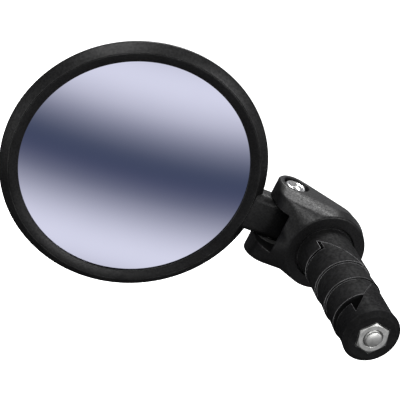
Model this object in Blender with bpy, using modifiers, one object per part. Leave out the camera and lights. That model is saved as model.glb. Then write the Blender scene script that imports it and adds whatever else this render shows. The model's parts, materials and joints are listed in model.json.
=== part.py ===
"""Bar-end bike mirror: a round head on a hinge tongue, a clevis knuckle and an expanding plug.

The origin is on the plug's axis, in the plane of the knuckle's bar-end face. The plug runs
along -Y into the handlebar, the tilt hinge is parallel to +Z, and the head lies towards -X.
"""
import math

import bmesh
import bpy
from mathutils import Matrix, Vector

MM = 0.001
GAP = 0.3                     # clearance between touching pieces

# Head
GLASS_R = 40.0                # visible radius of the mirror
HEAD_R = 46.5                 # outer radius of the cup
GLASS_EDGE_R = 41.9
GLASS_THICK = 2.0
GLASS_CURVE_R = 500.0         # convex wide-angle glass
SEAT_R = 43.3                 # inner radius of the cup's rim
RIM_TOP = 1.0
WIDEST = -1.7                 # height at which the sloping rim is widest
CUP_FLOOR = -4.5
CUP_BACK = -7.6

# Tilt hinge
PIN_X = -13.1
PIN_Y = 17.3
HEAD_ANGLE = -9.0             # degrees about +Z at rest
ARM_LENGTH = 56.1             # from the pin to the glass centre
GLASS_FORWARD = 3.0           # glass plane ahead of the pin
PIN_R = 2.2
PIN_HOLE_R = 2.5
TONGUE_HALF = 7.4
TONGUE_THICK = 7.5
TONGUE_PAST_PIN = 3.6
SLOT_R = 5.2                  # room for the tongue's end to turn

# Knuckle
COLLAR_RINGS = ((0.0, 14.4), (0.4, 14.8), (4.2, 15.6), (9.5, 15.1), (11.7, 11.8))
EAR_INNER = 7.7
EAR_TOP = 14.3
EAR_BOTTOM = 15.6
EAR_R = 6.8
WASHER_SEAT = 8.7             # seats of the friction washers in the ears
RECESS_FLOOR = 11.1           # seat of the pivot screw's head
SCREW_HEAD_R = 4.3
SCREW_HEAD_H = 2.6
PIVOT_NUT_FLATS = 7.0
PIVOT_NUT_H = 2.7
WEB_LOW = 3.8
WEB_HIGH = 6.2
NECK_R = 5.0
BACK_RECESS_R = 6.7

WAIST_X = -4.3
WAIST_Y = 16.5
WAIST_SIDE = (0.66, 0.75)     # across the web that joins the ears to the collar

# Plug
FLANGE_R = 10.3
FLANGE_TOP = 2.6
STUB_TOP = 6.5
PLUG_R = 9.55                 # root radius of the sawtooth bands
LIP_R = 10.0                  # crest radius of the sawtooth bands
BAND_PITCH = 10.0
FIRST_LIP = -20.3
RAMP_AZIMUTH = 15.0           # direction in which the fixed ramps grow longer
RAMP_SLOPE = 1.4
STUB_RAMP = -12.7             # where the stub's ramp crosses the axis
WEDGE_RAMP = -38.1            # where the wedge's ramp crosses the axis
LEG_WALL = -6.1               # flat side of the legs, across the ramp direction
LEG_PLAY = 0.8
STUB_LEG = -8.8
SLEEVE_TOP = -9.8
SLEEVE_END = -40.0
WEDGE_LEG = -42.0
STUB_TIP = -24.2
WEDGE_TIP = -26.6
SLEEVE_BLUNT = 7.9
PLUG_END = -50.9
END_R = 9.95
POCKET_FLOOR = -46.3
BOLT_R = 3.0
BOLT_HOLE_R = 3.3
SLEEVE_BORE_R = 4.2
BOLT_HEAD_R = 5.0
BOLT_HEAD_H = 4.5
NUT_FLATS = 10.0
NUT_H = 4.8
BOLT_TIP = -52.4
NUT_AZIMUTH = 44.5            # a corner of the end nut points this way

BIG_STEPS = 80
MID_STEPS = 48
SMALL_STEPS = 32


def clear_scene():
    for obj in list(bpy.data.objects):
        bpy.data.objects.remove(obj, do_unlink=True)


def make_material(name, rgb, roughness, metallic):
    mat = bpy.data.materials.new(name)
    mat.use_nodes = True
    shader = mat.node_tree.nodes["Principled BSDF"]
    shader.inputs["Base Color"].default_value = (rgb[0], rgb[1], rgb[2], 1.0)
    shader.inputs["Roughness"].default_value = roughness
    shader.inputs["Metallic"].default_value = metallic
    return mat


clear_scene()
PARTS = bpy.data.collections.new("bike_mirror")
CUTTERS = bpy.data.collections.new("cutters")
bpy.context.scene.collection.children.link(PARTS)
bpy.context.scene.collection.children.link(CUTTERS)

BLACK = make_material("black_plastic", (0.014, 0.014, 0.015), 0.5, 0.0)
LIP_BLACK = make_material("bezel_plastic", (0.010, 0.010, 0.011), 0.42, 0.0)
MIRROR = make_material("mirror_silver", (0.78, 0.80, 0.86), 0.03, 1.0)
RUBBER = make_material("rubber", (0.02, 0.02, 0.02), 0.8, 0.0)
NYLON = make_material("nylon", (0.05, 0.05, 0.05), 0.6, 0.0)
ZINC = make_material("zinc_plate", (0.62, 0.62, 0.60), 0.35, 1.0)
CHROME = make_material("chrome", (0.80, 0.80, 0.80), 0.15, 1.0)

# Frames of the moving groups. Each frame's origin is on its joint's axis.
PLUG_FRAME = Matrix.Rotation(math.radians(-90), 4, "X")
RAMP_FRAME = PLUG_FRAME @ Matrix.Rotation(math.radians(-RAMP_AZIMUTH), 4, "Z")
PIN_FRAME = Matrix.Translation(Vector((PIN_X, PIN_Y, 0.0)) * MM)
HEAD_FRAME = PIN_FRAME @ Matrix.Rotation(math.radians(HEAD_ANGLE), 4, "Z")
GLASS_SHIFT = Matrix.Translation(Vector((-ARM_LENGTH, -GLASS_FORWARD, 0.0)) * MM)
GLASS_FRAME = GLASS_SHIFT @ Matrix.Rotation(math.radians(90), 4, "X")


def make_empty(name, matrix):
    empty = bpy.data.objects.new(name, None)
    empty.empty_display_size = 0.01
    empty.matrix_world = matrix
    PARTS.objects.link(empty)
    return empty


def add_object(name, mesh, matrix, material=None, parent=None):
    """Link a mesh. A piece with a material is a part, one without is a cutter."""
    obj = bpy.data.objects.new(name, mesh)
    if material is None:
        CUTTERS.objects.link(obj)
        obj.hide_render = True
        obj.display_type = "WIRE"
    else:
        PARTS.objects.link(obj)
        mesh.materials.append(material)
    if parent is not None:
        obj.parent = parent
    obj.matrix_local = matrix
    return obj


def turned(name, profile, matrix, material=None, parent=None, steps=MID_STEPS, ring=False):
    """Turn a profile of (radius, height) in mm that runs down the outer side."""
    mesh = bpy.data.meshes.new(name)
    points = [(radius * MM, 0.0, height * MM) for radius, height in profile]
    edges = [(i, i + 1) for i in range(len(points) - 1)]
    if ring:
        edges.append((len(points) - 1, 0))
    mesh.from_pydata(points, edges, [])
    obj = add_object(name, mesh, matrix, material, parent)
    screw = obj.modifiers.new("turn", "SCREW")
    screw.axis = "Z"
    screw.steps = steps
    screw.render_steps = steps
    screw.use_merge_vertices = True
    screw.merge_threshold = 0.00001
    screw.use_smooth_shade = True
    return obj


def rod(name, radius, low, high, matrix, material=None, parent=None, steps=SMALL_STEPS):
    profile = [(0.0, high), (radius, high), (radius, low), (0.0, low)]
    return turned(name, profile, matrix, material, parent, steps)


def washer(name, inner, outer, low, high, matrix, material, parent, steps=SMALL_STEPS):
    profile = [(inner, high), (outer, high), (outer, low), (inner, low)]
    return turned(name, profile, matrix, material, parent, steps, ring=True)


def slab(name, outline, low, high, matrix, material=None, parent=None):
    """Raise a flat outline in mm between two heights, then make it a welded mesh."""
    curve = bpy.data.curves.new(name + "_outline", "CURVE")
    curve.dimensions = "2D"
    curve.fill_mode = "BOTH"
    curve.extrude = (high - low) / 2 * MM
    spline = curve.splines.new("POLY")
    spline.points.add(len(outline) - 1)
    for point, (x, y) in zip(spline.points, outline):
        point.co = (x * MM, y * MM, 0.0, 1.0)
    spline.use_cyclic_u = True
    guide = bpy.data.objects.new(name + "_outline", curve)
    bpy.context.scene.collection.objects.link(guide)
    bpy.context.view_layer.update()
    graph = bpy.context.evaluated_depsgraph_get()
    mesh = bpy.data.meshes.new_from_object(guide.evaluated_get(graph))
    bpy.data.objects.remove(guide, do_unlink=True)
    mesh.name = name
    mesh.materials.clear()
    build = bmesh.new()
    build.from_mesh(mesh)
    bmesh.ops.remove_doubles(build, verts=build.verts, dist=0.00001)
    bmesh.ops.translate(build, verts=build.verts, vec=(0.0, 0.0, (low + high) / 2 * MM))
    bmesh.ops.recalc_face_normals(build, faces=build.faces)
    build.to_mesh(mesh)
    build.free()
    return add_object(name, mesh, matrix, material, parent)


def boolean(obj, cutter, operation):
    modifier = obj.modifiers.new(operation.lower(), "BOOLEAN")
    modifier.operation = operation
    modifier.solver = "EXACT"
    modifier.object = cutter
    return modifier


def cut(obj, *cutters):
    for cutter in cutters:
        boolean(obj, cutter, "DIFFERENCE")


def join(obj, *pieces):
    for piece in pieces:
        boolean(obj, piece, "UNION")


def polygon(sides, flats, corner_angle=0.0):
    """Outline of a regular polygon given across its flats, with a corner at the angle."""
    radius = flats / 2 / math.cos(math.pi / sides)
    outline = []
    for i in range(sides):
        angle = math.radians(corner_angle) + 2 * math.pi * i / sides
        outline.append((radius * math.cos(angle), radius * math.sin(angle)))
    return outline


def box_outline(x_low, x_high, y_low, y_high):
    return [(x_low, y_low), (x_high, y_low), (x_high, y_high), (x_low, y_high)]


def dome(radius_from, radius_to, steps, height):
    """Points of a curved face between two radii, with the height given by a function."""
    points = []
    for i in range(steps + 1):
        radius = radius_from + (radius_to - radius_from) * i / steps
        points.append((radius, height(radius)))
    return points


def bevel(obj, width, segments=2, angle=40):
    modifier = obj.modifiers.new("bevel", "BEVEL")
    modifier.width = width * MM
    modifier.segments = segments
    modifier.limit_method = "ANGLE"
    modifier.angle_limit = math.radians(angle)
    return modifier


# ---------------------------------------------------------------- head
head = make_empty("mirror_tilt_axis", HEAD_FRAME)


def glass_front(radius):
    drop = (GLASS_EDGE_R ** 2 - radius ** 2) / (2 * GLASS_CURVE_R)
    return -0.4 + drop


glass_profile = dome(0.0, GLASS_EDGE_R, 6, glass_front)
glass_profile += dome(GLASS_EDGE_R, 0.0, 6, lambda r: glass_front(r) - GLASS_THICK)
turned("mirror_glass", glass_profile, GLASS_FRAME, MIRROR, head, BIG_STEPS)

pad_top = dome(0.0, 40.5, 4, lambda r: glass_front(r) - GLASS_THICK - GAP)
pad_profile = pad_top + [(40.5, CUP_FLOOR + GAP), (0.0, CUP_FLOOR + GAP)]
turned("glass_pad", pad_profile, GLASS_FRAME, RUBBER, head, MID_STEPS)

bezel_profile = [
    (GLASS_R, 0.25),
    (GLASS_R + 0.3, 0.35),
    (SEAT_R - GAP - 0.2, RIM_TOP),
    (SEAT_R - GAP, RIM_TOP - 0.15),
    (SEAT_R - GAP, -0.1),
    (GLASS_R + 0.1, 0.1),
]
turned("mirror_bezel", bezel_profile, GLASS_FRAME, LIP_BLACK, head, BIG_STEPS, ring=True)

cup_profile = [
    (0.0, CUP_FLOOR),
    (SEAT_R - 0.5, CUP_FLOOR),
    (SEAT_R, CUP_FLOOR + 0.5),
    (SEAT_R, RIM_TOP),
    (HEAD_R - 0.25, WIDEST + 0.3),
    (HEAD_R, WIDEST - 0.2),
    (HEAD_R - 0.15, WIDEST - 0.8),
    (HEAD_R - 1.1, WIDEST - 3.0),
    (HEAD_R - 2.3, WIDEST - 4.2),
]
cup_profile += dome(HEAD_R - 4.2, 0.0, 5, lambda r: CUP_BACK + 0.9 * (r / HEAD_R) ** 2)
housing = turned("mirror_housing", cup_profile, GLASS_FRAME, BLACK, head, BIG_STEPS)

half = TONGUE_THICK / 2
tongue_far = -ARM_LENGTH + SEAT_R + 0.3
tongue = slab("tongue", box_outline(tongue_far, TONGUE_PAST_PIN, -half, half), -TONGUE_HALF,
              TONGUE_HALF, HEAD_FRAME)
bevel(tongue, 0.9, 2)
tongue_bore = rod("tongue_bore", PIN_HOLE_R, -EAR_BOTTOM, EAR_TOP, HEAD_FRAME)
join(housing, tongue)
cut(housing, tongue_bore)

# ---------------------------------------------------------------- knuckle
knuckle_empty = make_empty("knuckle_swivel_axis", PLUG_FRAME)


def ring_points(center, radius, normal, count):
    """Points of a circle in mm about a centre, square to the Y or the Z axis."""
    points = []
    for i in range(count):
        angle = 2 * math.pi * i / count
        a = radius * math.cos(angle)
        b = radius * math.sin(angle)
        offset = Vector((a, 0.0, b)) if normal == "Y" else Vector((a, b, 0.0))
        points.append(Vector(center) + offset)
    return points


def hull(name, points, matrix, material=None, parent=None):
    """Tight skin around a set of points in mm."""
    mesh = bpy.data.meshes.new(name)
    build = bmesh.new()
    for point in points:
        build.verts.new(point * MM)
    result = bmesh.ops.convex_hull(build, input=build.verts)
    spare = [item for item in result["geom_interior"] if isinstance(item, bmesh.types.BMVert)]
    bmesh.ops.delete(build, geom=spare, context="VERTS")
    bmesh.ops.dissolve_limit(build, angle_limit=math.radians(0.5), verts=build.verts,
                             edges=build.edges)
    bmesh.ops.triangulate(build, faces=build.faces)
    bmesh.ops.recalc_face_normals(build, faces=build.faces)
    build.to_mesh(mesh)
    build.free()
    mesh.shade_smooth()
    mesh.set_sharp_from_angle(angle=math.radians(30))
    return add_object(name, mesh, matrix, material, parent)


def waist_points(section):
    """Lower half of the section between ears and collar, from (depth, height) in mm."""
    points = []
    for depth, height in section:
        x = WAIST_X - WAIST_SIDE[0] * depth
        y = WAIST_Y - WAIST_SIDE[1] * depth
        points.append(Vector((x, y, -height)))
    return points


# The body is a convex skin around the collar and the upper ear. The lower ear is a second one.
low_waist = waist_points([(-0.6, 7.5), (-0.2, 11.8), (1.2, 13.9), (7.5, 14.1), (11.4, 13.2),
                          (13.8, 11.1), (14.8, 7.6)])


def ear_points(side, outer):
    points = ring_points((PIN_X, PIN_Y, side * EAR_INNER), EAR_R, "Z", MID_STEPS)
    points += ring_points((PIN_X - 0.2, PIN_Y - 6.2, side * EAR_INNER), 7.0, "Z", MID_STEPS)
    points += ring_points((PIN_X - 0.2, PIN_Y - 3.8, side * (outer - 2.2)), 7.1, "Z", MID_STEPS)
    points += ring_points((PIN_X, PIN_Y, side * (outer - 0.5)), EAR_R, "Z", MID_STEPS)
    points += ring_points((PIN_X, PIN_Y, side * outer), EAR_R - 0.5, "Z", MID_STEPS)
    return points


body_skin = ear_points(1, EAR_TOP) + low_waist
for y, radius in COLLAR_RINGS:
    body_skin += ring_points((0.0, y, 0.0), radius, "Y", MID_STEPS)
to_knuckle = PLUG_FRAME.inverted()
knuckle = hull("knuckle", body_skin, to_knuckle, BLACK, knuckle_empty)
low_skin = ear_points(-1, EAR_BOTTOM) + low_waist
low_skin += [p for p in ring_points((0.0, 0.4, 0.0), 14.8, "Y", MID_STEPS)
             if p.x < -8.0 and abs(p.z) < 11.0]
low_ear = hull("low_ear", low_skin, Matrix.Identity(4))
join(knuckle, low_ear)

slot_outline = [
    (PIN_X + SLOT_R, PIN_Y),
    (PIN_X + SLOT_R, PIN_Y + 20.0),
    (-60.0, PIN_Y + 20.0),
    (-60.0, -10.0),
    (-22.0, -4.0),
    (-16.9, 4.8),
    (-9.0, 12.9),
]
slot = slab("slot", slot_outline, -EAR_INNER, EAR_INNER, Matrix.Identity(4))
slot_round = rod("slot_round", SLOT_R, -EAR_INNER, EAR_INNER, PIN_FRAME)
flange_seat = rod("flange_seat", FLANGE_R + GAP, -5.0, WEB_LOW, PLUG_FRAME, steps=MID_STEPS)
neck_hole = rod("neck_hole", NECK_R + GAP, -5.0, 30.0, PLUG_FRAME)
back_recess = rod("back_recess", BACK_RECESS_R, WEB_HIGH, 40.0, PLUG_FRAME, steps=MID_STEPS)
washer_seat = rod("washer_seat", 5.0 + GAP, -WASHER_SEAT, WASHER_SEAT, PIN_FRAME)
pin_hole = rod("pin_hole", PIN_HOLE_R, -30.0, 30.0, PIN_FRAME)
screw_recess = rod("screw_recess", SCREW_HEAD_R + 0.4, RECESS_FLOOR, 30.0, PIN_FRAME)
nut_floor = -RECESS_FLOOR
nut_pocket = slab("nut_pocket", polygon(6, PIVOT_NUT_FLATS + 2 * GAP), -30.0, nut_floor, PIN_FRAME)
cut(knuckle, slot, slot_round, flange_seat, neck_hole, back_recess, washer_seat, pin_hole,
    screw_recess, nut_pocket)

PIN_LOCAL = to_knuckle @ PIN_FRAME
head_low = RECESS_FLOOR + GAP
head_high = head_low + SCREW_HEAD_H
screw_profile = [
    (0.0, head_high),
    (3.5, head_high),
    (4.0, head_high - 0.4),
    (SCREW_HEAD_R, head_low + 0.7),
    (SCREW_HEAD_R, head_low),
    (PIN_R, head_low),
    (PIN_R, -EAR_BOTTOM + 0.9),
    (PIN_R - 0.4, -EAR_BOTTOM + 0.5),
    (0.0, -EAR_BOTTOM + 0.5),
]
pivot_bolt = turned("pivot_bolt", screw_profile, PIN_LOCAL, CHROME, knuckle_empty)
screw_socket = slab("screw_socket", polygon(6, 3.0), head_high - 1.2, head_high + 2.0, PIN_FRAME)
cut(pivot_bolt, screw_socket)

nut_top = nut_floor - GAP
pivot_nut = slab("pivot_nut", polygon(6, PIVOT_NUT_FLATS), nut_top - PIVOT_NUT_H, nut_top,
                 PIN_LOCAL, ZINC, knuckle_empty)
cut(pivot_nut, pin_hole)

washer_low = TONGUE_HALF + GAP
washer_high = WASHER_SEAT - GAP
washer("friction_washer_upper", PIN_HOLE_R, 5.0, washer_low, washer_high, PIN_LOCAL, NYLON,
       knuckle_empty)
washer("friction_washer_lower", PIN_HOLE_R, 5.0, -washer_high, -washer_low, PIN_LOCAL, NYLON,
       knuckle_empty)

# ---------------------------------------------------------------- fixed end of the plug
ramp_gap = GAP * math.hypot(1.0, RAMP_SLOPE)
FAR = 14.0


def ramp_down(u, start):
    return start - RAMP_SLOPE * u


def ramp_up(u, start):
    return start + RAMP_SLOPE * u


RAMP_SIDE = RAMP_FRAME @ Matrix.Rotation(math.radians(90), 4, "X")
stub_profile = [
    (BOLT_HOLE_R, STUB_TOP),
    (NECK_R, STUB_TOP),
    (NECK_R, FLANGE_TOP),
    (FLANGE_R, FLANGE_TOP),
    (FLANGE_R, -0.7),
    (PLUG_R + 0.1, -1.2),
    (LIP_R, FIRST_LIP),
    (PLUG_R, FIRST_LIP - 0.3),
    (PLUG_R, STUB_TIP),
    (BOLT_HOLE_R, STUB_TIP),
]
plug_stub = turned("plug_stub", stub_profile, PLUG_FRAME, BLACK, ring=True)
stub_waste = slab("stub_waste", [
    (-FAR, -40.0),
    (FAR, -40.0),
    (FAR, ramp_down(FAR, STUB_RAMP)),
    (LEG_WALL, ramp_down(LEG_WALL, STUB_RAMP)),
    (LEG_WALL, STUB_LEG),
    (-FAR, STUB_LEG),
], -FAR, FAR, RAMP_SIDE)
cut(plug_stub, stub_waste)

plug_root = make_empty("plug_axis", PLUG_FRAME)
plug_stub.parent = plug_root
plug_stub.matrix_local = Matrix.Identity(4)
washer("swivel_washer", NECK_R + GAP, 9.6, FLANGE_TOP + GAP, WEB_LOW - GAP, Matrix.Identity(4),
       RUBBER, plug_root, MID_STEPS)
washer("clamp_washer", BOLT_HOLE_R, 6.4, STUB_TOP + GAP, STUB_TOP + 1.3, Matrix.Identity(4),
       ZINC, plug_root)

# ---------------------------------------------------------------- sliding sleeve
sleeve_profile = [(SLEEVE_BORE_R, -4.0), (PLUG_R + 0.05, -4.0)]
lip = FIRST_LIP
while lip > SLEEVE_END - 1.0:
    edge = max(lip, SLEEVE_END)
    sleeve_profile += [(LIP_R, edge + 0.25), (LIP_R - 0.1, edge), (PLUG_R, edge - 0.1)]
    lip -= BAND_PITCH
sleeve_profile += [(PLUG_R, SLEEVE_END - 2.0), (SLEEVE_BORE_R, SLEEVE_END - 2.0)]
sleeve_empty = make_empty("sleeve_slide_axis", PLUG_FRAME)
sleeve = turned("expander_sleeve", sleeve_profile, Matrix.Identity(4), BLACK, sleeve_empty,
                ring=True)
spur = LEG_WALL + 0.1
sleeve_keep = slab("sleeve_keep", [
    (-FAR, SLEEVE_END),
    ((SLEEVE_END - WEDGE_RAMP - ramp_gap) / RAMP_SLOPE, SLEEVE_END),
    (SLEEVE_BLUNT, ramp_up(SLEEVE_BLUNT, WEDGE_RAMP + ramp_gap)),
    (SLEEVE_BLUNT, ramp_down(SLEEVE_BLUNT, STUB_RAMP - ramp_gap)),
    (spur + LEG_PLAY, ramp_down(spur + LEG_PLAY, STUB_RAMP - ramp_gap)),
    (spur + LEG_PLAY, SLEEVE_TOP),
    (-FAR, SLEEVE_TOP),
], -FAR, FAR, RAMP_SIDE)
boolean(sleeve, sleeve_keep, "INTERSECT")

# ---------------------------------------------------------------- end wedge, bolt and nut
wedge_profile = [
    (BOLT_HOLE_R, WEDGE_TIP),
    (PLUG_R + 0.1, WEDGE_TIP),
    (LIP_R, FIRST_LIP - BAND_PITCH),
    (PLUG_R, FIRST_LIP - BAND_PITCH - 0.3),
    (PLUG_R, PLUG_END + 5.3),
    (END_R, PLUG_END + 1.4),
    (END_R - 0.3, PLUG_END + 1.0),
    (END_R - 1.8, PLUG_END),
    (BOLT_HOLE_R, PLUG_END),
]
wedge_empty = make_empty("wedge_slide_axis", PLUG_FRAME)
wedge = turned("expander_wedge", wedge_profile, Matrix.Identity(4), BLACK, wedge_empty, ring=True)
wedge_waste = slab("wedge_waste", [
    (FAR, ramp_up(FAR, WEDGE_RAMP)),
    (FAR, 0.0),
    (-FAR, 0.0),
    (-FAR, WEDGE_LEG),
    (LEG_WALL, WEDGE_LEG),
    (LEG_WALL, ramp_up(LEG_WALL, WEDGE_RAMP)),
], -FAR, FAR, RAMP_SIDE)
end_pocket = slab("end_pocket", polygon(6, NUT_FLATS + 2 * GAP, -NUT_AZIMUTH), -70.0, POCKET_FLOOR,
                  PLUG_FRAME)
cut(wedge, wedge_waste, end_pocket)

bolt_hole = rod("bolt_hole", BOLT_HOLE_R, -70.0, 30.0, PLUG_FRAME)
nut_high = POCKET_FLOOR - GAP
nut = slab("expander_nut", polygon(6, NUT_FLATS, -NUT_AZIMUTH), nut_high - NUT_H, nut_high,
           Matrix.Identity(4), ZINC, wedge_empty)
nut_chamfer = turned("nut_chamfer", [
    (0.0, nut_high + 1.0),
    (NUT_FLATS, nut_high + 1.0),
    (NUT_FLATS, nut_high - NUT_H + 2.7),
    (NUT_FLATS / 2 - 0.2, nut_high - NUT_H),
    (0.0, nut_high - NUT_H),
], PLUG_FRAME)
boolean(nut, nut_chamfer, "INTERSECT")
cut(nut, bolt_hole)

bolt_low = STUB_TOP + 1.3 + GAP
bolt_high = bolt_low + BOLT_HEAD_H
bolt_profile = [
    (0.0, bolt_high),
    (BOLT_HEAD_R - 0.4, bolt_high),
    (BOLT_HEAD_R, bolt_high - 0.4),
    (BOLT_HEAD_R, bolt_low),
    (BOLT_R, bolt_low),
    (BOLT_R, BOLT_TIP + 0.8),
    (BOLT_R - 0.7, BOLT_TIP),
    (0.0, BOLT_TIP),
]
bolt_empty = make_empty("bolt_turn_axis", PLUG_FRAME)
bolt = turned("expander_bolt", bolt_profile, Matrix.Identity(4), ZINC, bolt_empty)
bolt_socket = slab("bolt_socket", polygon(6, 5.0), bolt_high - 2.6, bolt_high + 2.0, PLUG_FRAME)
cut(bolt, bolt_socket)

bpy.context.view_layer.update()
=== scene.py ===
"""Looks of the bar-end bike mirror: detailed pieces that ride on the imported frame.

Lengths in the constants and outlines are in millimetres, and become metres when a mesh is made.
"""
import json
import math

import bmesh
import bpy
from mathutils import Matrix, Vector

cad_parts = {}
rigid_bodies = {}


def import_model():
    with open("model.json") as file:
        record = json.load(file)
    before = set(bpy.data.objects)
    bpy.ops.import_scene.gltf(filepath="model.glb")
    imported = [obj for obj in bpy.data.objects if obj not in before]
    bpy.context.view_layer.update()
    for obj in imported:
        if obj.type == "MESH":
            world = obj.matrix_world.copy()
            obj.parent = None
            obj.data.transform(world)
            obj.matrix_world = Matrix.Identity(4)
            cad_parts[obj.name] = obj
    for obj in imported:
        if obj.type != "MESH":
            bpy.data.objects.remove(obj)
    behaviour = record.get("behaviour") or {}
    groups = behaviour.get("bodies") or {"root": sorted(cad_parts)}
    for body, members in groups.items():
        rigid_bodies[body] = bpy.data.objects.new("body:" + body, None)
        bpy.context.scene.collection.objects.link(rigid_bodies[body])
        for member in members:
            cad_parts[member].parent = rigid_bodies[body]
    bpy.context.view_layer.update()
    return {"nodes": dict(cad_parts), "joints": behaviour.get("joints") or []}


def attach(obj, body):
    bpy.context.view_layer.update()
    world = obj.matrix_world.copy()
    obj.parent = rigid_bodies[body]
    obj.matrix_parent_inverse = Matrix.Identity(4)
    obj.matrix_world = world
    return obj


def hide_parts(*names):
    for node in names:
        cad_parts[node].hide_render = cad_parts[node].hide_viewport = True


for leftover in list(bpy.data.objects):
    bpy.data.objects.remove(leftover, do_unlink=True)

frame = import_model()
NODES = frame["nodes"]

MM = 0.001
GAP = 0.3  # play between neighbouring pieces
BEYOND = 70.0  # where the plug's cutters end, past its tip

# Head
GLASS_R = 40.0
HEAD_R = 46.5
WIDEST = -1.7
GLASS_EDGE_R = 41.9
GLASS_THICK = 2.0
GLASS_CURVE_R = 500.0
SEAT_R = 43.3
RIM_TOP = 1.0
CUP_FLOOR = -4.5
CUP_BACK = -7.6
CUP_BULGE = 0.9
GROOVE_R = 34.0
GROOVE_HALF = 0.9
GROOVE_DEPTH = 0.45

# Tilt hinge
HEAD_ANGLE = -9.0
ARM_LENGTH = 56.1
GLASS_FORWARD = 3.0
PIN_R = 2.2
PIN_HOLE_R = 2.5
TONGUE_HALF = 7.4
TONGUE_THICK = 7.5
TONGUE_PAST_PIN = 3.6
SLOT_R = 5.2

# Knuckle
COLLAR_RINGS = ((0.0, 14.4), (0.4, 14.8), (4.2, 15.6), (9.5, 15.1), (11.7, 11.8))
EAR_INNER = 7.7
EAR_TOP = 14.3
EAR_BOTTOM = 15.6
EAR_R = 6.8
WASHER_R = 5.0
WASHER_SEAT = 8.7
RECESS_FLOOR = 11.1
SCREW_HEAD_R = 4.3
SCREW_HEAD_H = 2.6
SCREW_SOCKET = 2.5
PIVOT_NUT_FLATS = 7.0
PIVOT_NUT_H = 2.7
WEB_LOW = 3.8
WEB_HIGH = 6.2
NECK_R = 5.0
BACK_RECESS_R = 6.7
WAIST_X = -4.3
WAIST_Y = 16.5
WAIST_SIDE = (0.66, 0.75)

# Plug
FLANGE_R = 10.3
FLANGE_TOP = 2.6
STUB_TOP = 6.5
PLUG_R = 9.55
LIP_R = 10.0
BAND_PITCH = 10.0
FIRST_LIP = -20.3
RAMP_AZIMUTH = 15.0
RAMP_SLOPE = 1.4
RAMP_PLAY = 0.12
STUB_RAMP = -12.7
WEDGE_RAMP = -38.1
LEG_WALL = -6.1
LEG_PLAY = 0.8
STUB_LEG = -8.8
SLEEVE_TOP = -9.8
SLEEVE_END = -40.0
WEDGE_LEG = -42.0
STUB_TIP = -24.2
WEDGE_TIP = -26.6
SLEEVE_BLUNT = 7.9
PLUG_END = -50.9
END_R = 9.95
POCKET_FLOOR = -46.3
BOLT_R = 3.0
BOLT_HOLE_R = 3.3
SLEEVE_BORE_R = 4.2
BOLT_HEAD_R = 5.0
BOLT_HEAD_H = 4.5
BOLT_SOCKET = 5.0
CLAMP_WASHER_H = 1.3
NUT_FLATS = 10.0
NUT_H = 4.8
BOLT_TIP = -52.4
NUT_AZIMUTH = 44.5

# Frames: local Z is the pin, the plug's axis, the way across the ramps, or the glass's normal
PIN = next(j for j in frame["joints"] if j["name"] == "mirror_tilt")["pos_m"]
PLUG_FRAME = Matrix.Rotation(math.radians(-90), 4, "X")
RAMP_FRAME = PLUG_FRAME @ Matrix.Rotation(math.radians(-RAMP_AZIMUTH), 4, "Z")
RAMP_SIDE = RAMP_FRAME @ Matrix.Rotation(math.radians(90), 4, "X")
PIN_FRAME = Matrix.Translation(Vector(PIN))
PIN_X = PIN[0] / MM
PIN_Y = PIN[1] / MM
HEAD_FRAME = PIN_FRAME @ Matrix.Rotation(math.radians(HEAD_ANGLE), 4, "Z")
GLASS_SHIFT = Matrix.Translation(Vector((-ARM_LENGTH, -GLASS_FORWARD, 0.0)) * MM)
GLASS_FRAME = HEAD_FRAME @ GLASS_SHIFT @ Matrix.Rotation(math.radians(90), 4, "X")


# ---------------------------------------------------------------- mesh tools
def link_mesh(name, verts, faces, matrix):
    mesh = bpy.data.meshes.new(name)
    mesh.from_pydata([Vector(v) * MM for v in verts], [], faces)
    build = bmesh.new()
    build.from_mesh(mesh)
    bmesh.ops.recalc_face_normals(build, faces=build.faces)
    build.to_mesh(mesh)
    build.free()
    obj = bpy.data.objects.new(name, mesh)
    bpy.context.scene.collection.objects.link(obj)
    obj.matrix_world = matrix
    return obj


def rounded(corners, steps=4, closed=False):
    """Outline whose corners (x, y, radius) are rounded. A corner (x, y) stays sharp."""
    outline = []
    for i, corner in enumerate(corners):
        here = Vector(corner[:2])
        if len(corner) == 2 or (not closed and i in (0, len(corners) - 1)):
            outline.append(tuple(here))
            continue
        back = (Vector(corners[i - 1][:2]) - here).normalized()
        ahead = (Vector(corners[(i + 1) % len(corners)][:2]) - here).normalized()
        half = back.angle(ahead) / 2
        center = here + (back + ahead).normalized() * (corner[2] / math.sin(half))
        start = here + back * (corner[2] / math.tan(half)) - center
        end = here + ahead * (corner[2] / math.tan(half)) - center
        turn = math.atan2(start.x * end.y - start.y * end.x, start.dot(end))
        for k in range(steps + 1):
            angle = turn * k / steps
            x = start.x * math.cos(angle) - start.y * math.sin(angle)
            y = start.x * math.sin(angle) + start.y * math.cos(angle)
            outline.append((center.x + x, center.y + y))
    return outline


def turned(name, profile, matrix, steps=160, ring=False, form=None):
    """Turn (radius, height) points that run down the outer side. form can vary the radius."""
    verts = []
    rows = []
    for radius, height in profile:
        if radius < 0.000001:
            rows.append([len(verts)])
            verts.append((0.0, 0.0, height))
            continue
        rows.append(list(range(len(verts), len(verts) + steps)))
        for i in range(steps):
            angle = 2 * math.pi * i / steps
            r, h = (radius, height) if form is None else form(radius, height, angle)
            verts.append((r * math.cos(angle), r * math.sin(angle), h))
    faces = []
    pairs = list(zip(rows, rows[1:]))
    if ring:
        pairs.append((rows[-1], rows[0]))
    for upper, lower in pairs:
        for i in range(steps):
            j = (i + 1) % steps
            if len(upper) == 1:
                faces.append((upper[0], lower[i], lower[j]))
            elif len(lower) == 1:
                faces.append((upper[i], lower[0], upper[j]))
            else:
                faces.append((upper[i], lower[i], lower[j], upper[j]))
    return link_mesh(name, verts, faces, matrix)


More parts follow.
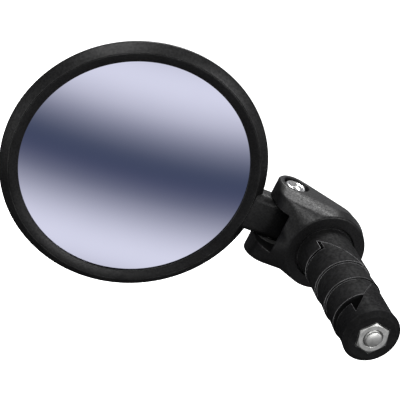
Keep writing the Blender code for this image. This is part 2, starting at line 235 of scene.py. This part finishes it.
def rod(name, radius, low, high, matrix, steps=96):
    return turned(name, [(0, high), (radius, high), (radius, low), (0, low)], matrix, steps)


def prism(name, outline, low, high, matrix):
    count = len(outline)
    verts = [(x, y, low) for x, y in outline] + [(x, y, high) for x, y in outline]
    faces = [tuple(reversed(range(count))), tuple(range(count, 2 * count))]
    for i in range(count):
        j = (i + 1) % count
        faces.append((i, j, count + j, count + i))
    return link_mesh(name, verts, faces, matrix)


def hexagon(flats, corner_angle=0.0):
    radius = flats / 2 / math.cos(math.pi / 6)
    turn = 2 * math.pi / 6
    start = math.radians(corner_angle)
    return [(radius * math.cos(start + turn * i), radius * math.sin(start + turn * i))
            for i in range(6)]


def dome(radius_from, radius_to, steps, height):
    points = []
    for i in range(steps + 1):
        radius = radius_from + (radius_to - radius_from) * i / steps
        points.append((radius, height(radius)))
    return points


def settle(obj):
    """Make an object's modifiers part of its mesh."""
    bpy.context.view_layer.update()
    graph = bpy.context.evaluated_depsgraph_get()
    mesh = bpy.data.meshes.new_from_object(obj.evaluated_get(graph))
    obj.modifiers.clear()
    obj.data = mesh


def combine(obj, operation, *tools):
    """Boolean an object with tools, which are used up."""
    for tool in tools:
        modifier = obj.modifiers.new("shape", "BOOLEAN")
        modifier.operation = operation
        modifier.solver = "EXACT"
        modifier.object = tool
    settle(obj)
    for tool in tools:
        bpy.data.objects.remove(tool, do_unlink=True)


def soften(obj, voxel, smoothing):
    """Round all edges of a solid: an even fine mesh, then relaxed."""
    remesh = obj.modifiers.new("fine", "REMESH")
    remesh.mode = "VOXEL"
    remesh.voxel_size = voxel * MM
    relax = obj.modifiers.new("relax", "SMOOTH")
    relax.factor = 0.5
    relax.iterations = smoothing
    settle(obj)


def bevelled(obj, width, segments=3):
    bevel = obj.modifiers.new("bevel", "BEVEL")
    bevel.width = width * MM
    bevel.segments = segments
    bevel.limit_method = "ANGLE"
    bevel.angle_limit = math.radians(40)
    settle(obj)


def finish_piece(obj, body, material, slot, *nodes, crease=35):
    obj.data.materials.clear()
    obj.data.materials.append(material)
    obj.data.shade_smooth()
    obj.data.set_sharp_from_angle(angle=math.radians(crease))
    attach(obj, body)
    if nodes:
        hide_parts(*nodes)


# ---------------------------------------------------------------- materials
def new_material(name):
    material = bpy.data.materials.new(name)
    material.use_nodes = True
    return material, material.node_tree, material.node_tree.nodes["Principled BSDF"]


def add_noise(tree, scale, detail, vector):
    noise = tree.nodes.new("ShaderNodeTexNoise")
    noise.inputs["Scale"].default_value = scale
    noise.inputs["Detail"].default_value = detail
    noise.inputs["Roughness"].default_value = 0.6
    tree.links.new(vector, noise.inputs["Vector"])
    return noise.outputs["Fac"]


def add_range(tree, value, low_in, high_in, low_out, high_out):
    span = tree.nodes.new("ShaderNodeMapRange")
    span.inputs["From Min"].default_value = low_in
    span.inputs["From Max"].default_value = high_in
    span.inputs["To Min"].default_value = low_out
    span.inputs["To Max"].default_value = high_out
    tree.links.new(value, span.inputs["Value"])
    return span.outputs["Result"]


def add_math(tree, operation, a, b):
    node = tree.nodes.new("ShaderNodeMath")
    node.operation = operation
    for socket, value in zip(node.inputs, (a, b)):
        if isinstance(value, float):
            socket.default_value = value
        else:
            tree.links.new(value, socket)
    return node.outputs["Value"]


def add_mix(tree, share, first, second):
    mix = tree.nodes.new("ShaderNodeMix")
    mix.data_type = "RGBA"
    tree.links.new(share, mix.inputs["Factor"])
    for socket, value in ((mix.inputs["A"], first), (mix.inputs["B"], second)):
        if isinstance(value, tuple):
            socket.default_value = (*value, 1.0)
        else:
            tree.links.new(value, socket)
    return mix.outputs["Result"]


def rounded_normal(tree, radius):
    """Normal of the surface as if its edges had a small radius."""
    soft = tree.nodes.new("ShaderNodeBevel")
    soft.samples = 6
    soft.inputs["Radius"].default_value = radius * MM
    return soft.outputs["Normal"]


def edge_rub_and_highlight_mask(tree, radius):
    """1 on edges, 0 on open surfaces: marks the edges painted paler, partly as rubbed wear and
    partly as painted highlight.
    """
    real = tree.nodes.new("ShaderNodeNewGeometry")
    dot = tree.nodes.new("ShaderNodeVectorMath")
    dot.operation = "DOT_PRODUCT"
    tree.links.new(rounded_normal(tree, radius), dot.inputs[0])
    tree.links.new(real.outputs["Normal"], dot.inputs[1])
    return add_range(tree, dot.outputs["Value"], 0.995, 0.90, 0.0, 1.0)


def surface(tree, shader, relief, height, distance, radius):
    """Bump of a given height on a surface whose edges look rounded."""
    bump = tree.nodes.new("ShaderNodeBump")
    bump.inputs["Strength"].default_value = relief
    bump.inputs["Distance"].default_value = distance * MM
    tree.links.new(height, bump.inputs["Height"])
    tree.links.new(rounded_normal(tree, radius), bump.inputs["Normal"])
    tree.links.new(bump.outputs["Normal"], shader.inputs["Normal"])


def moulded(name, dark, pale, worn_and_highlit, gloss, shine=0.10, grain=2600.0, relief=0.3, radius=0.25,
             uneven=0.35):
    """Moulded polymer: fine grain, uneven gloss, faint flow marks, and paler edges that are partly
    rubbed wear and partly painted highlight.

    dark and pale are colours, and the third colour is painted on edges, partly as rubbed wear and
    partly as painted highlight;
    gloss is the range of roughness, shine the specular level and uneven how much it varies. grain
    is the scale of the bumps, relief their strength and radius the rounding of edges in mm.
    """
    material, tree, shader = new_material(name)
    place = tree.nodes.new("ShaderNodeTexCoord").outputs["Object"]
    fine = add_noise(tree, grain, 3.0, place)
    broad = add_noise(tree, 85.0, 5.0, place)
    mottle = add_noise(tree, grain * 0.55, 2.0, place)
    patch = add_range(tree, broad, 0.3, 0.7, 0.0, 1.0)
    wear_and_highlight_share = add_range(tree, broad, 0.4, 0.6, 0.2, 1.0)
    # Edges take the third colour: partly rubbed wear, partly painted highlight.
    rubbed_and_highlit = add_math(tree, "MULTIPLY", edge_rub_and_highlight_mask(tree, radius * 1.6), wear_and_highlight_share)
    colour = add_mix(tree, rubbed_and_highlit, add_mix(tree, patch, dark, pale), worn_and_highlit)
    roughness = add_range(tree, add_math(tree, "ADD", broad, fine), 0.6, 1.4, *gloss)
    level = add_range(tree, mottle, 0.35, 0.65, shine * (1.0 - uneven), shine * (1.0 + uneven))
    tree.links.new(colour, shader.inputs["Base Color"])
    tree.links.new(roughness, shader.inputs["Roughness"])
    tree.links.new(level, shader.inputs["Specular IOR Level"])
    surface(tree, shader, relief, fine, 0.06, radius)
    return material


def plated(name, dark, pale, gloss, grain=900.0, relief=0.2, radius=0.12):
    """Plated steel: fine scratches, uneven gloss and slight tarnish."""
    material, tree, shader = new_material(name)
    place = tree.nodes.new("ShaderNodeTexCoord").outputs["Object"]
    stretch = tree.nodes.new("ShaderNodeMapping")
    stretch.inputs["Scale"].default_value = (1.0, 1.0, 6.0)
    tree.links.new(place, stretch.inputs["Vector"])
    scratch = add_noise(tree, grain, 4.0, stretch.outputs["Vector"])
    broad = add_noise(tree, 260.0, 4.0, place)
    tree.links.new(add_mix(tree, add_range(tree, broad, 0.3, 0.7, 0.0, 1.0), dark, pale),
                   shader.inputs["Base Color"])
    tree.links.new(add_range(tree, scratch, 0.3, 0.7, *gloss), shader.inputs["Roughness"])
    shader.inputs["Metallic"].default_value = 1.0
    surface(tree, shader, relief, scratch, 0.02, radius)
    return material


# The edge colours below are partly rubbed wear and partly painted highlight.
BLACK = moulded("moulded_black", (0.0009, 0.0009, 0.0010), (0.0022, 0.0022, 0.0023),
                (0.018, 0.018, 0.018), (0.34, 0.50), relief=0.5)
PLUG_GRAIN = {"grain": 1700.0, "relief": 1.0, "radius": 0.14, "uneven": 0.5}
# Its edge colour (0.12) is mostly painted highlight: thin bright lines along the plug's lips and
# seams.
PLUG_BLACK = moulded("moulded_plug_black", (0.0012, 0.0012, 0.0013), (0.0032, 0.0032, 0.0033),
                     (0.12, 0.12, 0.122), (0.60, 0.78), shine=0.042, **PLUG_GRAIN)
# The plug's black again, made darker and with weaker specular: painted shade on the wedge, with
# fainter painted highlights on its edges.
WEDGE_SHADED_BLACK = moulded("plug_black_painted_darker", (0.0010, 0.0010, 0.0011), (0.0028, 0.0028, 0.0029),
                      (0.07, 0.07, 0.071), (0.52, 0.70), shine=0.026, **PLUG_GRAIN)
BEZEL_BLACK = moulded("bezel_black", (0.0007, 0.0007, 0.0008), (0.0016, 0.0016, 0.0017),
                      (0.012, 0.012, 0.012), (0.30, 0.42), grain=3200.0, relief=0.12)
RUBBER = moulded("soft_rubber", (0.010, 0.010, 0.010), (0.018, 0.018, 0.018),
                 (0.03, 0.03, 0.03), (0.70, 0.85), grain=1600.0, relief=0.4)
NYLON = moulded("washer_nylon", (0.006, 0.006, 0.006), (0.012, 0.012, 0.012),
                (0.02, 0.02, 0.02), (0.45, 0.60), grain=1800.0, relief=0.2)
ZINC = plated("zinc_plated_steel", (0.19, 0.19, 0.185), (0.30, 0.30, 0.295), (0.42, 0.60))
CHROME = plated("chromed_steel", (0.40, 0.40, 0.40), (0.52, 0.52, 0.52), (0.16, 0.28),
                grain=700.0, relief=0.1)


def silvered():
    """Silvered convex glass with a faint cool tint and the lightest haze."""
    material, tree, shader = new_material("silvered_glass")
    place = tree.nodes.new("ShaderNodeTexCoord").outputs["Object"]
    haze = add_noise(tree, 45.0, 5.0, place)
    tint = add_mix(tree, add_range(tree, haze, 0.3, 0.7, 0.0, 1.0), (0.775, 0.785, 0.965),
                   (0.790, 0.800, 0.980))
    tree.links.new(tint, shader.inputs["Base Color"])
    tree.links.new(add_range(tree, haze, 0.3, 0.7, 0.012, 0.030), shader.inputs["Roughness"])
    shader.inputs["Metallic"].default_value = 1.0
    return material


MIRROR = silvered()


# ---------------------------------------------------------------- head
def glass_front(radius):
    """Height of the convex glass, which sinks into its seat at the edge."""
    return -0.4 + (GLASS_EDGE_R ** 2 - radius ** 2) / (2 * GLASS_CURVE_R)


glass_profile = dome(0.0, GLASS_EDGE_R, 40, glass_front)
glass_profile += dome(GLASS_EDGE_R, 0.0, 12, lambda r: glass_front(r) - GLASS_THICK)
glass = turned("glass", glass_profile, GLASS_FRAME, 256)
finish_piece(glass, "head", MIRROR, "mirror_silver", "mirror_glass")

bezel_profile = rounded([
    (GLASS_R, -0.10, 0.04),
    (GLASS_R, 0.30, 0.12),
    (SEAT_R - 0.05, RIM_TOP + 0.05, 0.18),
    (SEAT_R - 0.05, -0.1, 0.1),
    (GLASS_R + 0.3, -0.10, 0.04),
], steps=4, closed=True)
bezel = turned("bezel", bezel_profile, GLASS_FRAME, 256, ring=True)
finish_piece(bezel, "head", BEZEL_BLACK, "bezel_plastic", "mirror_bezel")


def back_height(radius):
    """Shallow dome of the cup's back, with a ring groove."""
    height = CUP_BACK + CUP_BULGE * (radius / HEAD_R) ** 2
    groove = max(0.0, 1.0 - abs(radius - GROOVE_R) / GROOVE_HALF)
    return height + GROOVE_DEPTH * groove


FLANK_R = HEAD_R - 4.2  # where the rim's flank runs into the back
cup_profile = rounded([
    (0.0, CUP_FLOOR),
    (SEAT_R, CUP_FLOOR, 0.5),
    (SEAT_R, RIM_TOP, 0.12),
    (HEAD_R + 0.15, WIDEST, 0.7),
    (HEAD_R - 1.4, WIDEST - 3.6, 3.0),
    (FLANK_R, back_height(FLANK_R)),
], steps=6)
cup_profile += dome(FLANK_R - 0.2, 0.0, 140, back_height)
cup = turned("cup", cup_profile, GLASS_FRAME, 256)
finish_piece(cup, "head", BLACK, "black_plastic", "mirror_housing")

tongue_far = -ARM_LENGTH + SEAT_R + 0.3
half = TONGUE_THICK / 2
LENGTHWISE = Matrix(((0, 0, 1, 0), (1, 0, 0, 0), (0, 1, 0, 0), (0, 0, 0, 1)))  # local Z on X
tongue = prism("tongue", rounded([
    (-half, -TONGUE_HALF, 2.2),
    (half, -TONGUE_HALF, 1.2),
    (half, TONGUE_HALF, 1.2),
    (-half, TONGUE_HALF, 2.9),
], steps=10, closed=True), tongue_far, TONGUE_PAST_PIN, HEAD_FRAME @ LENGTHWISE)
bevelled(tongue, 0.5)
combine(tongue, "DIFFERENCE", rod("bore", PIN_HOLE_R, -EAR_BOTTOM, EAR_TOP, HEAD_FRAME))
finish_piece(tongue, "head", BLACK, "black_plastic")


# ---------------------------------------------------------------- knuckle
def ring_points(center, radius, normal, count=128):
    points = []
    for i in range(count):
        angle = 2 * math.pi * i / count
        a = radius * math.cos(angle)
        b = radius * math.sin(angle)
        points.append(Vector(center) + (Vector((a, 0, b)) if normal == "Y" else Vector((a, b, 0))))
    return points


def hull(name, points, matrix):
    build = bmesh.new()
    for point in points:
        build.verts.new(point * MM)
    result = bmesh.ops.convex_hull(build, input=build.verts)
    spare = [item for item in result["geom_interior"] if isinstance(item, bmesh.types.BMVert)]
    bmesh.ops.delete(build, geom=spare, context="VERTS")
    bmesh.ops.recalc_face_normals(build, faces=build.faces)
    mesh = bpy.data.meshes.new(name)
    build.to_mesh(mesh)
    build.free()
    obj = bpy.data.objects.new(name, mesh)
    bpy.context.scene.collection.objects.link(obj)
    obj.matrix_world = matrix
    return obj


def waist_points(section):
    """Points of an outline in an upright plane across the neck."""
    points = []
    for depth, height in section:
        x = WAIST_X - WAIST_SIDE[0] * depth
        y = WAIST_Y - WAIST_SIDE[1] * depth
        points.append(Vector((x, y, -height)))
    return points


HERE = Matrix.Identity(4)
# Lower half of a section across the neck, as (way to the front, drop below the plug's axis)
low_waist = waist_points([(-0.6, 7.5), (-0.2, 11.8), (1.2, 13.9), (7.5, 14.1), (11.4, 13.2),
                          (13.8, 11.1), (14.8, 7.6)])


def ear_points(side, outer):
    """Rings round the pin at the slot and the outer face, and a heel in front of them."""
    rings = (
        (0.0, 0.0, EAR_INNER, EAR_R),
        (-0.2, -6.2, EAR_INNER, EAR_R + 0.2),
        (-0.2, -3.8, outer - 2.2, EAR_R + 0.3),
        (0.0, 0.0, outer - 0.5, EAR_R),
        (0.0, 0.0, outer, EAR_R - 0.5),
    )
    points = []
    for shift_x, shift_y, height, radius in rings:
        points += ring_points((PIN_X + shift_x, PIN_Y + shift_y, side * height), radius, "Z")
    return points


body_skin = ear_points(1, EAR_TOP) + low_waist
for y, radius in COLLAR_RINGS:
    body_skin += ring_points((0.0, y, 0.0), radius, "Y")
knuckle = hull("knuckle_body", body_skin, HERE)
low_skin = ear_points(-1, EAR_BOTTOM) + low_waist
collar_y, collar_radius = COLLAR_RINGS[1]
collar_edge = ring_points((0.0, collar_y, 0.0), collar_radius, "Y")
low_skin += [p for p in collar_edge if p.x < -8.0 and abs(p.z) < 11.0]
combine(knuckle, "UNION", hull("low_ear", low_skin, HERE))
slot_outline = [
    (PIN_X + SLOT_R, PIN_Y),
    (PIN_X + SLOT_R, PIN_Y + 20.0),
    (-60.0, PIN_Y + 20.0),
    (-60.0, -10.0),
    (-22.0, -4.0),
    (-16.9, 4.8),
    (-9.0, 12.9),
]
CUT_FRONT = -5.0  # in front of the collar
CUT_BACK = 40.0  # behind the ears
CUT_SIDE = 30.0  # above and below the ears
combine(
    knuckle, "DIFFERENCE",
    prism("slot", slot_outline, -EAR_INNER, EAR_INNER, HERE),
    rod("slot_round", SLOT_R, -EAR_INNER, EAR_INNER, PIN_FRAME),
    rod("flange_seat", FLANGE_R + GAP, CUT_FRONT, WEB_LOW, PLUG_FRAME, 160),
    rod("neck_hole", NECK_R + GAP, CUT_FRONT, CUT_BACK, PLUG_FRAME),
    rod("back_recess", BACK_RECESS_R, WEB_HIGH, CUT_BACK, PLUG_FRAME),
    rod("washer_seat", WASHER_R + GAP, -WASHER_SEAT, WASHER_SEAT, PIN_FRAME),
    rod("pin_hole", PIN_HOLE_R, -CUT_SIDE, CUT_SIDE, PIN_FRAME),
    rod("screw_recess", SCREW_HEAD_R + 0.4, RECESS_FLOOR, CUT_SIDE, PIN_FRAME),
    prism("nut_pocket", hexagon(PIVOT_NUT_FLATS + 2 * GAP), -CUT_SIDE, -RECESS_FLOOR, PIN_FRAME),
)
soften(knuckle, 0.25, 5)
finish_piece(knuckle, "knuckle_body", BLACK, "black_plastic", "knuckle", crease=60)

head_low = RECESS_FLOOR + GAP
head_high = head_low + SCREW_HEAD_H
screw_tip = -EAR_BOTTOM + 0.5
screw = turned("pivot_screw", rounded([
    (0.0, head_high - 1.1),
    (2.0, head_high - 1.1, 0.3),
    (2.7, head_high - 0.3, 0.3),
    (3.3, head_high, 0.3),
    (SCREW_HEAD_R, head_high - 0.9, 0.6),
    (SCREW_HEAD_R, head_low, 0.1),
    (PIN_R, head_low),
    (PIN_R, screw_tip + 0.4),
    (PIN_R - 0.4, screw_tip),
    (0.0, screw_tip),
]), PIN_FRAME, 128)
combine(screw, "DIFFERENCE",
        prism("socket", hexagon(SCREW_SOCKET), head_high - 2.0, head_high + 2.0, PIN_FRAME))
finish_piece(screw, "knuckle_body", CHROME, "chrome", "pivot_bolt")


def hex_nut(name, flats, low, high, bore, matrix, corner_angle=0.0, steps=180):
    """Hexagon nut with chamfered corners on both faces and a countersunk bore."""
    face_r = flats / 2 - 0.12
    sink = 0.45
    slope = 0.5
    shares = (0.0, 0.25, 0.5, 0.75, 1.0)
    start = math.radians(corner_angle)
    verts = []

    def corner_radius(angle):
        return flats / 2 / math.cos((angle % (math.pi / 3)) - math.pi / 6)

    def row(radius_at, height_at):
        for i in range(steps):
            angle = 2 * math.pi * i / steps
            r = radius_at(angle)
            a = angle + start
            verts.append((r * math.cos(a), r * math.sin(a), height_at(r)))

    def upper(r):
        return high - max(0.0, r - face_r) * slope

    def lower(r):
        return low + max(0.0, r - face_r) * slope

    row(lambda a: bore, lambda r: high - sink)
    row(lambda a: bore + sink, lambda r: high)
    for share in shares:
        row(lambda a, s=share: face_r + (corner_radius(a) - face_r) * s, upper)
    for share in reversed(shares):
        row(lambda a, s=share: face_r + (corner_radius(a) - face_r) * s, lower)
    row(lambda a: bore + sink, lambda r: low)
    row(lambda a: bore, lambda r: low + sink)
    faces = []
    count = len(verts) // steps
    for k in range(count):
        a = k * steps
        b = ((k + 1) % count) * steps
        for i in range(steps):
            j = (i + 1) % steps
            faces.append((a + i, b + i, b + j, a + j))
    return link_mesh(name, verts, faces, matrix)


nut_top = -RECESS_FLOOR - GAP
small_nut = hex_nut("pivot_nut_detail", PIVOT_NUT_FLATS, nut_top - PIVOT_NUT_H, nut_top,
                    PIN_R + 0.05, PIN_FRAME)
finish_piece(small_nut, "knuckle_body", ZINC, "zinc_plate", "pivot_nut", crease=25)

# ---------------------------------------------------------------- plug
ramp_gap = RAMP_PLAY * math.hypot(1.0, RAMP_SLOPE)
FAR = 14.0  # past the plug's side


def ramp_down(u, start):
    """Height of a ramp on the stub's side, u across the plug."""
    return start - RAMP_SLOPE * u


def ramp_up(u, start):
    """Height of a ramp on the wedge's side, u across the plug."""
    return start + RAMP_SLOPE * u


stub = turned("stub", rounded([
    (BOLT_HOLE_R, STUB_TOP),
    (NECK_R, STUB_TOP, 0.2),
    (NECK_R, FLANGE_TOP, 0.2),
    (FLANGE_R + 0.15, FLANGE_TOP, 0.2),
    (FLANGE_R + 0.15, 0.7, 0.2),
    (PLUG_R + 0.1, 0.6, 0.2),
    (LIP_R, FIRST_LIP, 0.05),
    (PLUG_R, FIRST_LIP - 0.3),
    (PLUG_R, STUB_TIP),
    (BOLT_HOLE_R, STUB_TIP),
], steps=3), PLUG_FRAME, ring=True)
combine(stub, "DIFFERENCE", prism("stub_waste", [
    (-FAR, -BEYOND),
    (FAR, -BEYOND),
    (FAR, ramp_down(FAR, STUB_RAMP)),
    (LEG_WALL, ramp_down(LEG_WALL, STUB_RAMP)),
    (LEG_WALL, STUB_LEG),
    (-FAR, STUB_LEG),
], -FAR, FAR, RAMP_SIDE))
finish_piece(stub, "plug", PLUG_BLACK, "black_plastic", "plug_stub")

blank_top = -4.0  # above the part of the blank that is kept
sleeve_profile = [(SLEEVE_BORE_R, blank_top), (PLUG_R + 0.05, blank_top)]
lip = FIRST_LIP
while lip > SLEEVE_END - 1.0:
    edge = max(lip, SLEEVE_END)
    sleeve_profile += [(LIP_R, edge + 0.3), (LIP_R, edge + 0.1), (LIP_R - 0.1, edge),
                       (PLUG_R - 0.3, edge - 0.1), (PLUG_R - 0.1, edge - 1.2)]
    lip -= BAND_PITCH
sleeve_profile += [(PLUG_R, SLEEVE_END - 2.0), (SLEEVE_BORE_R, SLEEVE_END - 2.0)]
sleeve = turned("sleeve", sleeve_profile, PLUG_FRAME, ring=True)
leg_side = LEG_WALL + 0.1 + LEG_PLAY
combine(sleeve, "INTERSECT", prism("sleeve_keep", [
    (-FAR, SLEEVE_END),
    ((SLEEVE_END - WEDGE_RAMP - ramp_gap) / RAMP_SLOPE, SLEEVE_END),
    (SLEEVE_BLUNT, ramp_up(SLEEVE_BLUNT, WEDGE_RAMP + ramp_gap)),
    (SLEEVE_BLUNT, ramp_down(SLEEVE_BLUNT, STUB_RAMP - ramp_gap)),
    (leg_side, ramp_down(leg_side, STUB_RAMP - ramp_gap)),
    (leg_side, SLEEVE_TOP),
    (-FAR, SLEEVE_TOP),
], -FAR, FAR, RAMP_SIDE))
finish_piece(sleeve, "sleeve", PLUG_BLACK, "black_plastic", "expander_sleeve")

DIMPLE_R = 0.4
DIMPLE_FRAME = Matrix.Translation(Vector((-0.7, -44.7, 0.0)) * MM)
wedge = turned("end_wedge", rounded([
    (BOLT_HOLE_R, WEDGE_TIP),
    (PLUG_R + 0.1, WEDGE_TIP),
    (LIP_R, FIRST_LIP - BAND_PITCH),
    (PLUG_R, FIRST_LIP - BAND_PITCH - 0.3),
    (PLUG_R, PLUG_END + 5.3, 1.0),
    (END_R + 0.05, PLUG_END + 1.2, 0.25),
    (END_R - 1.8, PLUG_END, 0.3),
    (BOLT_HOLE_R, PLUG_END),
], steps=4), PLUG_FRAME, ring=True)
combine(
    wedge, "DIFFERENCE",
    prism("wedge_waste", [
        (FAR, ramp_up(FAR, WEDGE_RAMP)),
        (FAR, 0.0),
        (-FAR, 0.0),
        (-FAR, WEDGE_LEG),
        (LEG_WALL, WEDGE_LEG),
        (LEG_WALL, ramp_up(LEG_WALL, WEDGE_RAMP)),
    ], -FAR, FAR, RAMP_SIDE),
    prism("end_pocket", hexagon(NUT_FLATS + 2 * GAP, -NUT_AZIMUTH), -BEYOND, POCKET_FLOOR,
          PLUG_FRAME),
    rod("dimple", DIMPLE_R, PLUG_R - DIMPLE_R, FAR, DIMPLE_FRAME, 32),
)
finish_piece(wedge, "wedge", WEDGE_SHADED_BLACK, "black_plastic", "expander_wedge")

nut_high = POCKET_FLOOR - GAP
end_nut = hex_nut("end_nut", NUT_FLATS, nut_high - NUT_H, nut_high, BOLT_R + 0.05, PLUG_FRAME,
                  -NUT_AZIMUTH)
finish_piece(end_nut, "wedge", ZINC, "zinc_plate", "expander_nut", crease=25)

THREAD_DEPTH = 0.42
THREAD_TOP = -38.0
THREAD_PITCH = 1.0
THREAD_STEP = 0.1
bolt_low = STUB_TOP + CLAMP_WASHER_H + GAP
bolt_high = bolt_low + BOLT_HEAD_H


def thread_form(radius, height, angle):
    """M6 coarse thread on the lower end of the shank."""
    if radius > BOLT_R + 0.01 or radius < BOLT_R - 0.01 or height > THREAD_TOP:
        return radius, height
    phase = (height / THREAD_PITCH - angle / (2 * math.pi)) % 1.0
    depth = THREAD_DEPTH * min(1.0, abs(2.0 * phase - 1.0) * 1.15)
    fade = min(1.0, (THREAD_TOP - height) / 2.0)
    return radius - depth * fade, height


bolt_profile = rounded([
    (0.0, bolt_high),
    (BOLT_HEAD_R, bolt_high, 0.5),
    (BOLT_HEAD_R, bolt_low, 0.15),
    (BOLT_R, bolt_low),
], steps=4)
height = THREAD_TOP
while height > BOLT_TIP + 0.7:
    bolt_profile.append((BOLT_R, height))
    height -= THREAD_STEP
bolt_profile += [(BOLT_R - 0.25, BOLT_TIP + 0.3), (BOLT_R - 0.7, BOLT_TIP), (0.0, BOLT_TIP)]
bolt = turned("bolt", bolt_profile, PLUG_FRAME, 96, form=thread_form)
combine(bolt, "DIFFERENCE",
        prism("socket", hexagon(BOLT_SOCKET), bolt_high - 2.6, bolt_high + 2.0, PLUG_FRAME))
finish_piece(bolt, "bolt", ZINC, "zinc_plate", "expander_bolt")

# CAD pieces that are hidden or nearly so keep their meshes
KEPT = {
    "glass_pad": RUBBER,
    "friction_washer_upper": NYLON,
    "friction_washer_lower": NYLON,
    "swivel_washer": RUBBER,
    "clamp_washer": ZINC,
}
for name, material in KEPT.items():
    NODES[name].data.materials.clear()
    NODES[name].data.materials.append(material)

# ---------------------------------------------------------------- floor, lights and camera
FLOOR_Z = -0.30
bpy.ops.mesh.primitive_plane_add(size=8.0, location=(0.0, 0.0, FLOOR_Z))
floor = bpy.context.object
floor.name = "floor"
floor_material, floor_tree, floor_shader = new_material("pale_floor")
floor_place = floor_tree.nodes.new("ShaderNodeTexCoord").outputs["Object"]
floor_tone = add_range(floor_tree, add_noise(floor_tree, 3.0, 3.0, floor_place), 0.3, 0.7, 0.0, 1.0)
floor_tree.links.new(add_mix(floor_tree, floor_tone, (0.90, 0.90, 0.90), (0.93, 0.93, 0.93)),
                     floor_shader.inputs["Base Color"])
floor_shader.inputs["Roughness"].default_value = 0.9
floor_shader.inputs["Specular IOR Level"].default_value = 0.1
floor.data.materials.append(floor_material)
floor.visible_glossy = False

# What the mirror and the gloss show: pale walls with a dark band, by the lean of a ray on an axis
STUDIO_AXIS = (-0.1024, -0.3903, 0.9150)
STUDIO = [
    (-1.00, (0.05, 0.05, 0.055)),
    (-0.75, (0.08, 0.08, 0.085)),
    (-0.50, (0.14, 0.14, 0.15)),
    (-0.22, (0.78, 0.78, 0.79)),
    (-0.17, (0.87, 0.87, 0.87)),
    (-0.12, (0.62, 0.62, 0.64)),
    (-0.07, (0.24, 0.25, 0.29)),
    (-0.03, (0.090, 0.10, 0.15)),
    (0.005, (0.055, 0.070, 0.112)),
    (0.04, (0.095, 0.11, 0.15)),
    (0.08, (0.28, 0.29, 0.33)),
    (0.12, (0.60, 0.60, 0.62)),
    (0.17, (0.87, 0.87, 0.87)),
    (0.22, (0.78, 0.78, 0.79)),
    (0.55, (0.30, 0.30, 0.31)),
    (1.00, (0.30, 0.30, 0.30)),
]
world = bpy.data.worlds.new("studio")
bpy.context.scene.world = world
world.use_nodes = True
world.cycles.sampling_method = "NONE"
tree = world.node_tree
background = tree.nodes["Background"]
direction = tree.nodes.new("ShaderNodeTexCoord").outputs["Generated"]
dot = tree.nodes.new("ShaderNodeVectorMath")
dot.operation = "DOT_PRODUCT"
dot.inputs[1].default_value = STUDIO_AXIS
tree.links.new(direction, dot.inputs[0])
share = add_range(tree, dot.outputs["Value"], -1.0, 1.0, 0.0, 1.0)
ramp = tree.nodes.new("ShaderNodeValToRGB")
ramp.color_ramp.interpolation = "B_SPLINE"
elements = ramp.color_ramp.elements
elements[0].position = 0.0
elements[0].color = (*STUDIO[0][1], 1.0)
elements[1].position = 1.0
elements[1].color = (*STUDIO[-1][1], 1.0)
for lean, colour in STUDIO[1:-1]:
    element = elements.new((lean + 1) / 2)
    element.color = (*colour, 1.0)
tree.links.new(share, ramp.inputs["Fac"])
ray = tree.nodes.new("ShaderNodeLightPath")
sky = add_mix(tree, ray.outputs["Is Glossy Ray"], (1.0, 1.0, 1.0), ramp.outputs["Color"])
tree.links.new(sky, background.inputs["Color"])
background.inputs["Strength"].default_value = 1.0


# The mirror shows the studio walls and the object itself, not the bright faces of the lamps.
lamp_targets = bpy.data.collections.new("lamp_targets")
lamp_targets.objects.link(glass)
lamp_targets.collection_objects[0].light_linking.link_state = "EXCLUDE"


def area_light(name, place, size, power):
    data = bpy.data.lights.new(name, "AREA")
    data.shape = "RECTANGLE"
    data.size = size
    data.size_y = size
    data.energy = power
    light = bpy.data.objects.new(name, data)
    bpy.context.scene.collection.objects.link(light)
    light.light_linking.receiver_collection = lamp_targets
    light.location = place
    light.rotation_mode = "QUATERNION"
    light.rotation_quaternion = (CENTER - Vector(place)).to_track_quat("-Z", "Y")


CENTER = Vector((-0.03, -0.005, 0.0))  # where the lamps aim
area_light("key", (-0.50, -0.33, 0.62), 0.34, 10.0)
area_light("side", (0.55, -0.45, 0.35), 0.35, 0.8)
area_light("top", (-0.06, 0.37, 0.70), 0.34, 20.0)
area_light("front", (0.07, -0.78, 0.06), 0.22, 3.6)
area_light("high", (0.30, -0.55, 0.45), 0.22, 6.5)
area_light("left", (-0.66, -0.21, -0.22), 0.26, 1.4)
area_light("rear", (0.20, 0.75, 0.45), 0.45, 0.5)

CAMERA_PLACE = (-0.27612, -0.44986, 0.21591)
RIGHT = Vector((0.87582, -0.23952, 0.41902))
UP = Vector((-0.25415, 0.50918, 0.82228))
BACK = Vector((-0.41031, -0.82666, 0.38508))
camera_data = bpy.data.cameras.new("camera")
camera_data.sensor_width = 36.0
camera_data.lens = 146.5
camera_data.clip_start = 0.01
camera_data.clip_end = 20.0
camera = bpy.data.objects.new("camera", camera_data)
bpy.context.scene.collection.objects.link(camera)
turn = Matrix((RIGHT, UP, BACK)).transposed().to_4x4()
camera.matrix_world = Matrix.Translation(CAMERA_PLACE) @ turn
bpy.context.scene.camera = camera
bpy.context.scene.view_settings.view_transform = "Standard"
